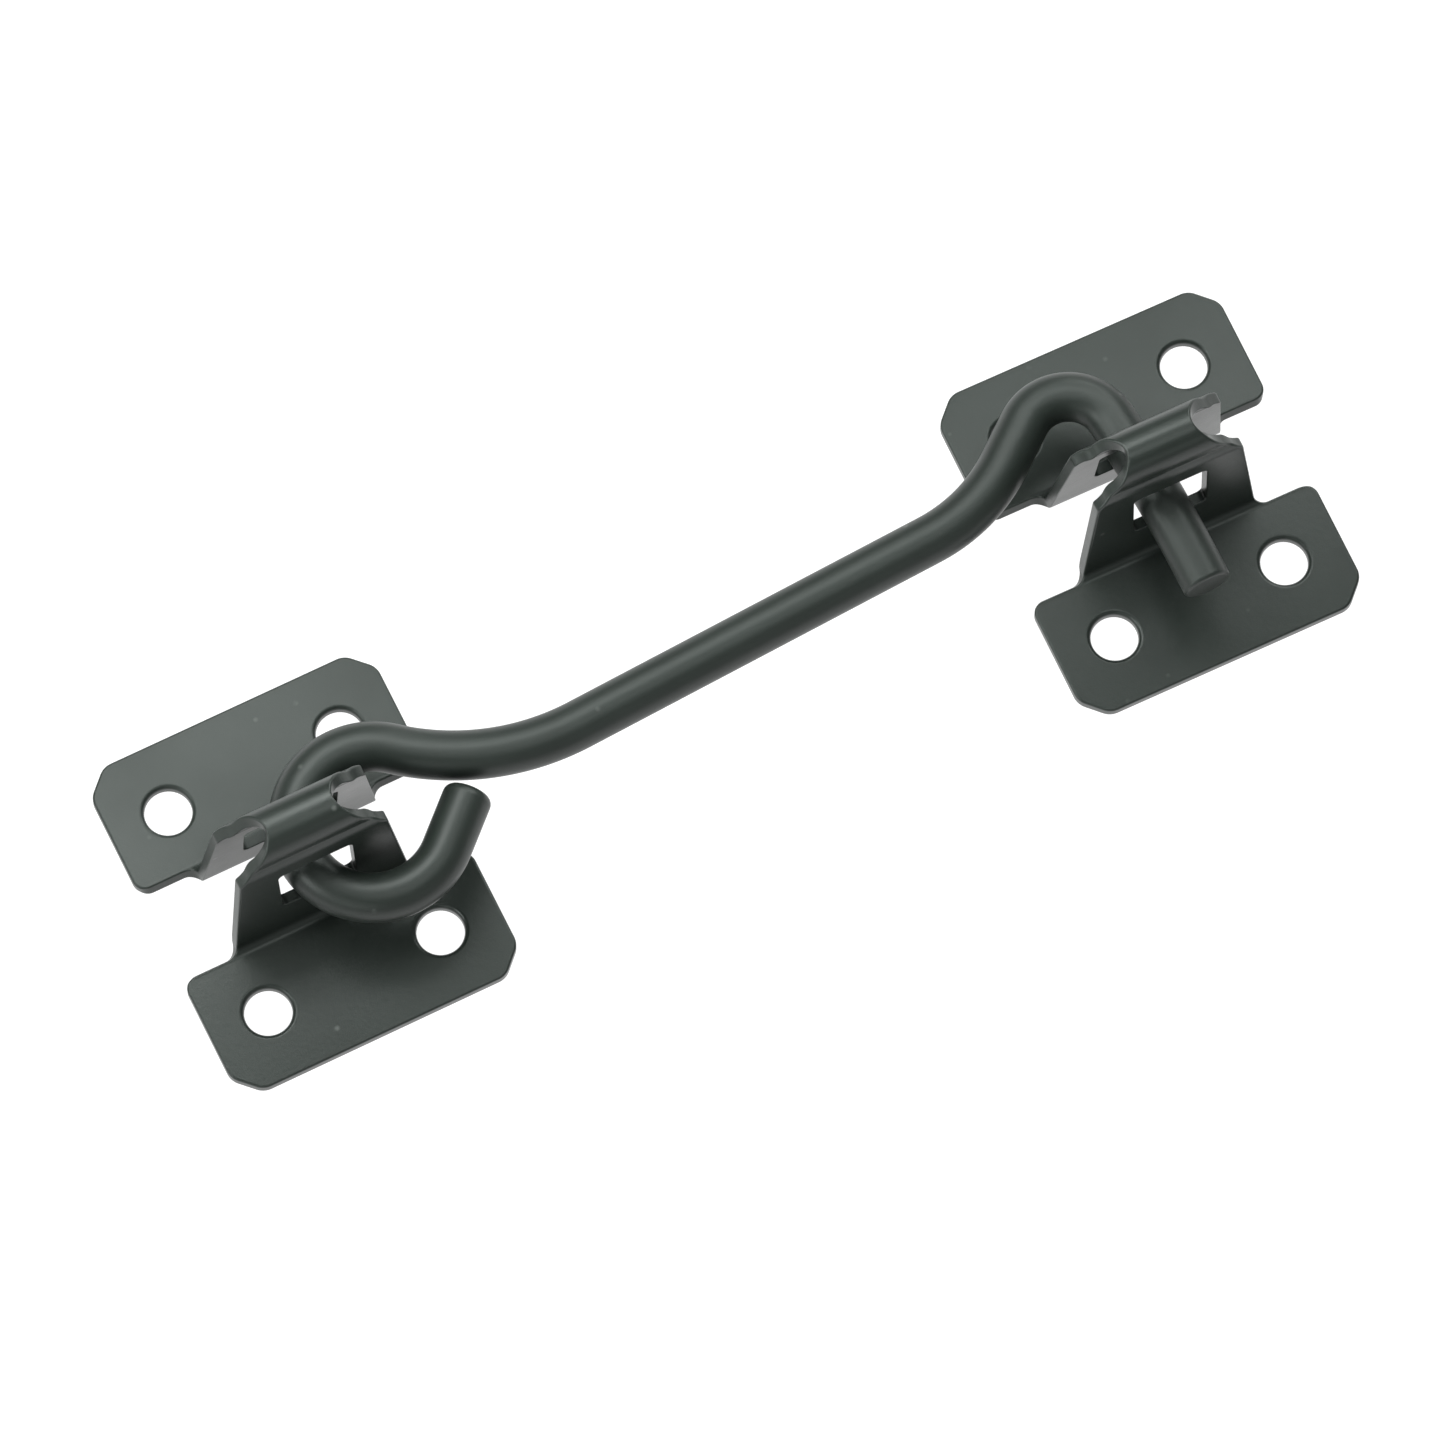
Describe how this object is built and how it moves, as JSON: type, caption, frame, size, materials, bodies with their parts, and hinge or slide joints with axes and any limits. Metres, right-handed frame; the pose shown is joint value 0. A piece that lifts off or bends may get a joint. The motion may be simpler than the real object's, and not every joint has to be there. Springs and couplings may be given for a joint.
{
  "type": "wire cabin hook with two staple plates",
  "caption": "Round-bar cabin hook whose closed eye hangs in one pressed bridge plate and whose bent pin drops through the windows of a second.",
  "frame": {"origin": "middle of the mounting plane, under the middle of the whole object", "axes": "+X along the bridges from the pivot plate to the keeper plate, +Y across them towards the gooseneck, +Z out of the mounting plane"},
  "size_m": [0.1506, 0.0476, 0.0247],
  "materials": {
    "plate_coating": "satin black coating on pressed steel",
    "hook_coating": "satin black coating on round steel bar"
  },
  "bodies": {
    "pivot": {"pivot_plate": "plate_coating"},
    "hook": {"hook": "hook_coating"},
    "keeper": {"keeper_plate": "plate_coating"}
  },
  "joints": [
    {"name": "hook_swing", "type": "hinge", "parent": "pivot", "child": "hook", "pos_m": [-0.04749, 0.0004, 0.0116], "axis": [0, 0, 1], "range_deg": [0, 80]},
    {"name": "keeper_release", "type": "slide", "parent": "pivot", "child": "keeper", "axis": [0, -1, 0], "range_m": [0, 0.03]}
  ]
}
